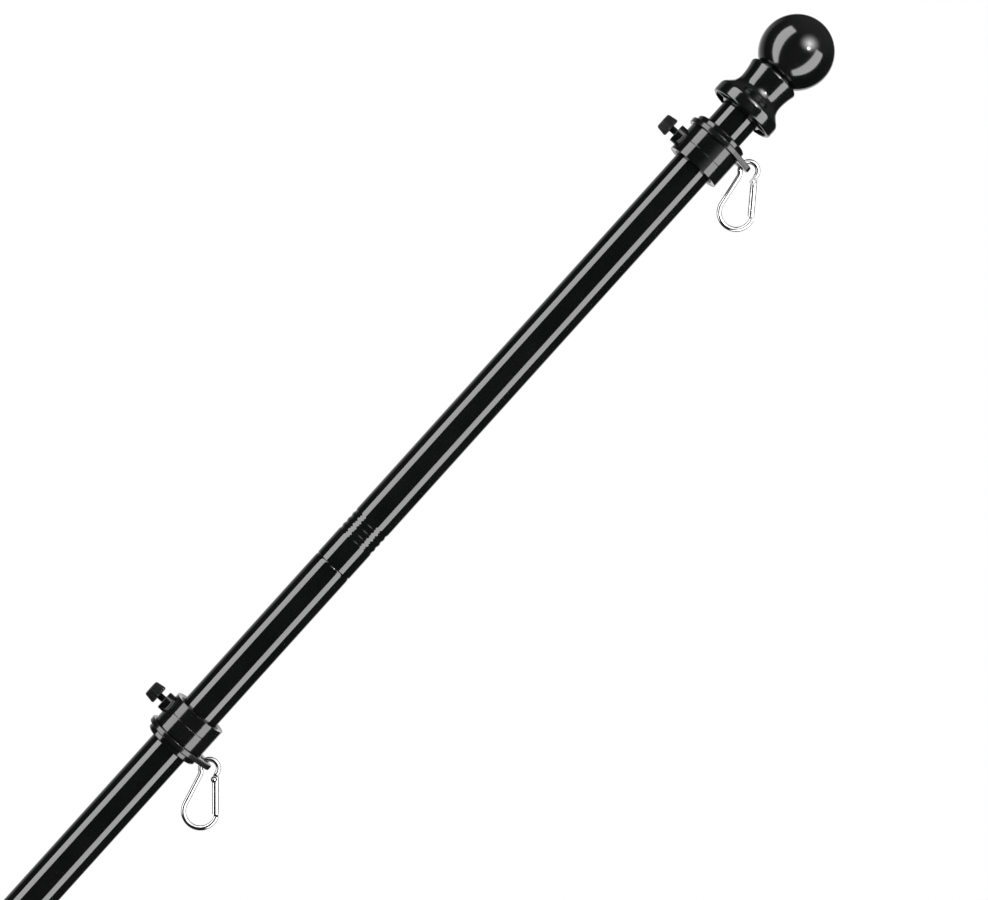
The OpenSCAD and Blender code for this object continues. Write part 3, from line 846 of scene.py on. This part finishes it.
# %% Flange and turning ring
NECK_R, NECK_L = 16.4, 4.0
FLANGE_R, FLANGE_T, FLANGE_BORE_R, FLANGE_BEVEL = 17.9, 3.4, 13.9, 0.8
RING_R, RING_T, EYELET_X, EYELET_R, TAB_R = 20.1, 3.4, 20.9, 2.7, 6.1
RING_EDGE, RING_PLAY = 0.6, 0.1
neck_top = BARREL_L + NECK_L
collar_l = neck_top + FLANGE_T
flange_outline = rounded([
    (FLANGE_BORE_R, BARREL_L), (NECK_R, BARREL_L), (NECK_R, neck_top), (FLANGE_R, neck_top),
    (FLANGE_R, collar_l - FLANGE_BEVEL), (FLANGE_R - FLANGE_BEVEL, collar_l),
    (FLANGE_BORE_R + FLANGE_BEVEL, collar_l), (FLANGE_BORE_R, collar_l - FLANGE_BEVEL),
], 0.3, 3, sharp=(0, 1, 2))

# A circle and a round tab, joined by lines that touch both
touch = degrees(acos((RING_R - TAB_R) / EYELET_X))
ring_outline = arc(0, 0, RING_R, touch, 360 - touch, 96)
ring_outline += arc(EYELET_X, 0, TAB_R, -touch, touch, 40)


def plate(outlines, thickness, edge, segments):
    """A flat plate with holes and bevelled edges, centred on Z = 0."""
    shape = bmesh.new()
    for outline in outlines:
        corners = [shape.verts.new((x, y, -thickness / 2)) for x, y in outline]
        for i, corner in enumerate(corners):
            shape.edges.new((corners[i - 1], corner))
    bmesh.ops.triangle_fill(shape, edges=shape.edges[:], use_beauty=True)
    sides = bmesh.ops.extrude_face_region(shape, geom=shape.faces[:])
    top = [item for item in sides["geom"] if isinstance(item, bmesh.types.BMVert)]
    bmesh.ops.translate(shape, verts=top, vec=(0, 0, thickness))
    bmesh.ops.recalc_face_normals(shape, faces=shape.faces)
    return shaped(mesh_of(shape), "BEVEL", width=edge, segments=segments,
                  limit_method="ANGLE", angle_limit=radians(50))


for which in COLLARS:
    settle(which + "_flange", lathe(flange_outline, 144), collar_place(which),
           which + "_collar", "collar_black")
    ring = plate([ring_outline, circle(0, NECK_R + RING_PLAY, 96),
                  circle(EYELET_X, EYELET_R, 48)], RING_T, RING_EDGE, 4)
    settle(which + "_ring", ring, collar_place(which, BARREL_L + NECK_L / 2), which + "_ring",
           "ring_black", group=ring_parts)

# %% [markdown]
# Inside the barrel sits a split sleeve. The screw presses on it, and it grips the tube
# without scratching the paint. Here the lathe stops short of a full turn.

# %% Split liner
LINER_IN_R, LINER_R, SLIT_W = 12.8, 14.35, 2.7
half_slit = asin(SLIT_W / 2 / ((LINER_IN_R + LINER_R) / 2))
liner_outline = rounded([(LINER_IN_R, 0.5), (LINER_R, 0.5), (LINER_R, BARREL_L),
                         (LINER_IN_R, BARREL_L)], 0.25, 3)
liner_turns = [pi / 2 + half_slit + (tau - 2 * half_slit) * i / 112 for i in range(113)]
for which in COLLARS:
    settle(which + "_liner", lathe(liner_outline, turns=liner_turns), collar_place(which),
           which + "_liner", "liner_black")

# %% [markdown]
# ## The thumb screw
# Three pieces: a steel insert moulded into the boss, a threaded shank and a moulded knob. A
# thread is a ridge that climbs by its pitch once per turn, so how far out the skin is
# depends on the height and the angle of a point together.

# %% Thread as a rule
KNOB_X, KNOB_L, KNOB_GRIP = 25.5, 7.3, 4.5
SHANK_TIP, RINGS_A_TURN = 14.4, 8.0

threaded = GeometryTree("Screw thread", Radius=SHANK_R, Length=10.0, Pitch=0.8, Depth=0.3)
size, calc = threaded.inputs, threaded.math
rings = calc("MULTIPLY", calc("DIVIDE", size["Length"], size["Pitch"]), RINGS_A_TURN)
turned = threaded.out("GeometryNodeMeshCylinder", {
    "Vertices": 40, "Radius": size["Radius"], "Depth": size["Length"], "Side Segments": rings})
point = threaded.position()
around_axis = calc("DIVIDE", calc("ARCTAN2", point["Y"], point["X"]), tau)
climb = calc("FRACT", calc("SUBTRACT", calc("DIVIDE", point["Z"], size["Pitch"]), around_axis))
valley = calc("ABSOLUTE", calc("MULTIPLY_ADD", climb, 2.0, -1.0))
valley = calc("MULTIPLY", valley, size["Depth"])
threaded_tree = threaded.end(threaded.pressed(turned, valley))

length = KNOB_X + KNOB_GRIP - SHANK_TIP
insert_outline = rounded([(SHANK_HOLE_R, BOSS_X - INSERT_L), (INSERT_R, BOSS_X - INSERT_L),
                          (INSERT_R, BOSS_X), (SHANK_HOLE_R, BOSS_X)], 0.25, 3)
for which in COLLARS:
    shank = grow(raw_mesh(), threaded_tree, "shank_black", Length=length)
    shank.transform(Matrix.Translation((0, 0, SHANK_TIP + length / 2)))
    settle(which + "_shank", shank, screw_place(which), which + "_screw", "shank_black",
           sharp=60)
    settle(which + "_insert", lathe(insert_outline, 64), screw_place(which), which + "_collar",
           "insert_steel")

# %% [markdown]
# The knob tapers a little, so that it came out of its mould. Round it run sixteen shallow
# flutes for the fingers. Each flute is a dip that is deepest in its middle, so the rule
# measures the angle to the nearest flute. A slot for a coin is then cut across the end.

# %% Knob with grip flutes
KNOB_R, KNOB_END_R, KNOB_EDGE = 6.0, 5.2, 1.1
SLOT_W, SLOT_DEPTH = 1.2, 1.1
FLUTES_FROM, FLUTES_RISE = 0.86, 8.0

fluted = GeometryTree("Grip flutes", Count=16, Depth=0.34, Share=0.62, Rim=KNOB_END_R)
size, calc = fluted.inputs, fluted.math
point = fluted.position()
angle = calc("DIVIDE", calc("ARCTAN2", point["Y"], point["X"]), tau)
angle = calc("FRACT", calc("MULTIPLY", angle, size["Count"]))
apart = calc("ABSOLUTE", calc("MULTIPLY_ADD", angle, 2.0, -1.0))
apart = calc("MINIMUM", calc("DIVIDE", apart, size["Share"]), 1.0)
dip = calc("SUBTRACT", 1.0, calc("MULTIPLY", apart, apart))
far = calc("SQRT", calc("ADD", *(calc("MULTIPLY", point[way], point[way]) for way in "XY")))
on_rim = calc("SUBTRACT", calc("DIVIDE", far, size["Rim"]), FLUTES_FROM)
on_rim = calc("MAXIMUM", calc("MULTIPLY", on_rim, FLUTES_RISE), 0.0)
dip = calc("MULTIPLY", dip, calc("MINIMUM", on_rim, 1.0))
dip = calc("MULTIPLY", dip, size["Depth"])
fluted_tree = fluted.end(fluted.pressed(size["Geometry"], dip))

taper = degrees(atan((KNOB_R - KNOB_END_R) / KNOB_L))
knob_outline = arc(KNOB_R - KNOB_EDGE, KNOB_EDGE, KNOB_EDGE, -90, taper, 6)
knob_outline += arc(KNOB_END_R - KNOB_EDGE, KNOB_L - KNOB_EDGE, KNOB_EDGE, taper, 90, 6)
knob_outline += [(KNOB_END_R - KNOB_EDGE - 0.4, KNOB_L), (0.0, KNOB_L), (0.0, KNOB_GRIP),
                 (SHANK_R, KNOB_GRIP), (SHANK_R, 0.0)]


def box_mesh(x_span, y_span, z_span):
    """A plain box for cutting."""
    corners = [(x, y, z) for x in x_span for y in y_span for z in z_span]
    return solid(corners, [(0, 1, 3, 2), (4, 6, 7, 5), (0, 4, 5, 1), (2, 3, 7, 6),
                           (0, 2, 6, 4), (1, 5, 7, 3)])


coin_slot = ((-KNOB_R, KNOB_R), (-SLOT_W / 2, SLOT_W / 2), (KNOB_L - SLOT_DEPTH, KNOB_L + 1))
for which in COLLARS:
    knob = grow(lathe(knob_outline, 192), fluted_tree, "knob_black")
    knob = cut(knob, box_mesh(*coin_slot))
    knob.transform(Matrix.Translation((0, 0, KNOB_X)))
    settle(which + "_knob", knob, screw_place(which), which + "_knob", "knob_black")

# %% [markdown]
# ## The snap hook
# One piece of wire makes the whole frame of the hook: a round eye, a kink at the waist, a
# straight spine and a wide bow. A wire is a circle swept along a path, so the path is
# written down as arcs and lines, and Geometry Nodes sweep the wire along it. Its two ends
# were pressed flat: one is the hinge for the gate, the other is the nose that stops it.

# %% Path of the wire
WIRE_R, THIN_END = 1.55, 0.35
EYE_R, WAIST, NECK = 5.5, 207.0, -40.0
BOW_R, BOW_C, NOSE = 10.3, Vector((-5.6, -26.2)), -20.0
KINK = 2.0


def polar(radius, angle):
    """A point from its distance and its angle in degrees."""
    angle = radians(angle)
    return Vector((radius * cos(angle), radius * sin(angle)))


waist = polar(EYE_R, WAIST)
to_bow = BOW_C - waist
spine_l = sqrt(to_bow.length_squared - BOW_R**2)
spine_angle = degrees(atan2(to_bow.y, to_bow.x)) - degrees(asin(BOW_R / to_bow.length))
eye = arc(0, 0, EYE_R, NECK, WAIST - degrees(KINK / EYE_R), 72)
start, end = Vector(eye[-1]), waist + polar(KINK, spine_angle)
kink = [start.lerp(waist, t).lerp(waist.lerp(end, t), t) for t in (k / 8 for k in range(1, 8))]
bow = arc(BOW_C.x, BOW_C.y, BOW_R, spine_angle + 270, NOSE + 360, 64)
spine = [end.lerp(Vector(bow[0]), k / 12) for k in range(12)]
path = [(x, y, 0) for x, y in eye + kink + spine + bow]

swept = GeometryTree("Wire along a path", Wire=WIRE_R, Taper=0.9)
size, calc = swept.inputs, swept.math
line = swept.out("GeometryNodeMeshToCurve", {"Mesh": size["Geometry"]})
along = swept.add("GeometryNodeSplineParameter").outputs["Length"]
whole = swept.add("GeometryNodeSplineLength").outputs["Length"]
to_end = calc("MINIMUM", along, calc("SUBTRACT", whole, along))
to_end = calc("MINIMUM", calc("DIVIDE", to_end, size["Taper"]), 1.0)
short = calc("SUBTRACT", 1.0, to_end)
round_end = calc("SQRT", calc("SUBTRACT", 1.0, calc("MULTIPLY", short, short)))
round_end = calc("MAXIMUM", round_end, THIN_END)
line = swept.out("GeometryNodeSetCurveRadius", {"Curve": line, "Radius": round_end})
profile = swept.out("GeometryNodeCurvePrimitiveCircle", {"Resolution": 40,
                                                         "Radius": size["Wire"]})
wire = swept.out("GeometryNodeCurveToMesh", {"Curve": line, "Profile Curve": profile,
                                             "Fill Caps": True})
swept_tree = swept.end(wire)
print("The wire's path has", len(path), "points, its spine is", round(spine_l, 1), "mm")

# %% Frame of the hook
TONGUE_T, TONGUE_EDGE, SLOT_GAP = 1.3, 0.15, 0.2
KNUCKLE_R, GATE_R, GATE_X, GATE_FOOT, GATE_TOP = 1.95, 2.05, 3.65, 28.9, 5.2
GATE_WEB, NOSE_L, GATE_SLANT, RIVET_R = 0.9, 3.1, 1.2, 0.6
hinge, flat = Vector(HINGE), WIRE_R - SLOT_GAP

# Flat neck from inside the eye's wire to a round end at the hinge
back = polar(1, NECK + 90)
inner, outer = (polar(EYE_R + side * flat, NECK) for side in (-1, 1))
neck = [inner, inner + back, outer + back, outer]
neck += [hinge + polar(KNUCKLE_R - SLOT_GAP, a) for a in range(0, -181, -12)]

# Blade that stands in the gate's lower slot
near, far = GATE_X - GATE_R + GATE_WEB + SLOT_GAP, GATE_X + GATE_R - SLOT_GAP
top, back = NOSE_L - GATE_FOOT - SLOT_GAP, polar(1, NOSE - 90)
inner, outer = (BOW_C + polar(BOW_R + side * flat, NOSE) for side in (-1, 1))
nose = [inner + back, outer + back, outer, (far, -GATE_FOOT), (far, top), (near, top),
        (near, -GATE_FOOT), inner]

path_edges = [(i, i + 1) for i in range(len(path) - 1)]
for which in COLLARS:
    wire = grow(raw_mesh(path, path_edges), swept_tree, "hook_chrome")
    ends = [plate([outline], TONGUE_T, TONGUE_EDGE, 2) for outline in (neck, nose)]
    settle(which + "_hook", joined(wire, *ends), hook_place(which), which + "_hook",
           "hook_chrome", group=hook_parts)

# %% [markdown]
# The gate is a round rod with a knuckle. Its top is forked over the flat neck and turns on
# a rivet. Its foot is slotted over the nose and cut at a slant, so the inner side ends
# higher. Four cuts make all that.

# %% Gate and rivet
KNUCKLE_W = 2 * GATE_R + 0.3
KEEN_EDGE = 0.0001
TO_HINGE = Matrix.Translation((*HINGE, 0))
slot_half = TONGUE_T / 2 + SLOT_GAP


def gate_mesh():
    """Drawn in the hook's plane, with the rod's axis along -Y.

    The cutters reach past the gate, so their outer sides are plain numbers.
    """
    body = rounded([(0.0, 0.0), (GATE_R, 0.0), (GATE_R, GATE_FOOT - GATE_TOP),
                    (0.0, GATE_FOOT - GATE_TOP)], 0.5, 5, sharp=(0, 1, 3))
    gate = lathe(subdivided(body, 3.0), 64)
    gate.transform(Matrix.Translation((GATE_X, -GATE_FOOT, 0))
                   @ Matrix.Rotation(-pi / 2, 4, "X"))
    knuckle = rod(KNUCKLE_R, -KNUCKLE_W / 2, KNUCKLE_W / 2, TO_HINGE, 56)
    gate = cut(gate, knuckle, "UNION")
    left, slot = GATE_X - GATE_R, (-slot_half, slot_half)
    fork = box_mesh((-2, 8), (HINGE[1] - KNUCKLE_R - SLOT_GAP, 2), slot)
    foot_slot = box_mesh((left + GATE_WEB, 9), (-GATE_FOOT - 1, NOSE_L - GATE_FOOT), slot)
    wedge = [(left - 1, -GATE_FOOT - 1), (8, -GATE_FOOT - 1), (8, -GATE_FOOT),
             (left + 0.9, GATE_SLANT - GATE_FOOT), (left - 1, GATE_SLANT - GATE_FOOT)]
    for tool in (fork, foot_slot, plate([wedge], 8, KEEN_EDGE, 1),
                 rod(RIVET_R + 0.05, -4, 4, TO_HINGE, 32)):
        gate = cut(gate, tool)
    return gate


head = KNUCKLE_W / 2 + 0.05
rivet_outline = [(RIVET_R, head), (1.0, head), (0.9, head + 0.16), (0.6, head + 0.3),
                 (0.0, head + 0.35)]
rivet_outline = [(radius, -height) for radius, height in rivet_outline[::-1]] + rivet_outline
for which in COLLARS:
    settle(which + "_gate", gate_mesh(), hook_place(which), which + "_gate", "hook_chrome",
           sharp=30, group=hook_parts)
    rivet = lathe(rivet_outline, 32)
    rivet.transform(TO_HINGE)
    settle(which + "_rivet", rivet, hook_place(which), which + "_hook", "hook_chrome",
           group=hook_parts)

# %% [markdown]
# ## Light for bright metal
# Polished metal looks bright only if it has something bright to mirror, and this room is
# dark in front. A photographer would hold white cards round the hooks. Here the cards are
# large dim lamps, linked to the hooks alone, so that the black parts stay black. For the
# same reason the black parts don't mirror the hooks. Between the cards a dark gap is left
# in front, a little to the left and low down. It draws the dark line along the wire.

# %% White cards for the hooks
hooks = {"centre": (pivot("upper_hook_swing") + pivot("lower_hook_swing")) / 2, "up": UP,
         "front": Vector((0, -1, 0)), "right": Vector((1, 0, 0)), "distance": 3.0}
card("Right card", (8, 95), (-5.0, 8.0), 1.25, hook_parts, **hooks)
card("Left card", (-105, -53), (-0.6, 8.0), 0.95, hook_parts, **hooks)
card("High card", (-53, 8), (1.8, 9.0), 1.2, hook_parts, **hooks)
for part in hook_parts.objects:
    part.visible_glossy = False

# %% [markdown]
# ## Plugs that stay as the CAD made them
# The plugs inside the joints and the plug in the butt have the right shape already. Their
# nodes stay and only get a finish.

# %% Finish for the plugs
for node in ("joint_plug_1", "joint_plug_2", "joint_plug_3", "butt_plug"):
    plug = frame["nodes"][node]
    plug.data.materials.clear()
    plug.data.materials.append(FINISHES["liner_black"])
print("Plugs finished")

# %% [markdown]
# ## The floor
# The pole's butt rests just above a pale floor. The floor is not part of the object: it
# only catches the shadow and gives the other views something to stand on. The gloss in the
# photograph mirrors no floor, so this one is kept out of the mirror images.

# %% Floor
FLOOR_X, FLOOR_R, FLOOR_GAP = 0.54, 1.3, 0.0005
floor_z = min(corner[2] for corner in cad_box) - FLOOR_GAP
rim = [(x, y, floor_z) for x, y in circle(FLOOR_X, FLOOR_R, 96)]
floor = blank("floor", raw_mesh(rim, faces=[range(96)]))
floor.data.materials.append(finish("Pale floor", ((0.78, 0.78, 0.78), (0.8, 0.8, 0.8)),
                                   (0.6, 0.7), 90, 50 * MICRON, cloud=3.0))
floor.visible_glossy = False
floor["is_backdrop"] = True
print("Floor at", round(floor_z, 4))

# %% [markdown]
# ## The size
# The dressed model must fill the same box as the CAD model, so both boxes are printed.

# %% Sizes and the end
seen_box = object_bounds()
for label, box in (("CAD box ", cad_box), ("Seen box", seen_box)):
    print(label, [[round(c, 4) for c in corner] for corner in box])
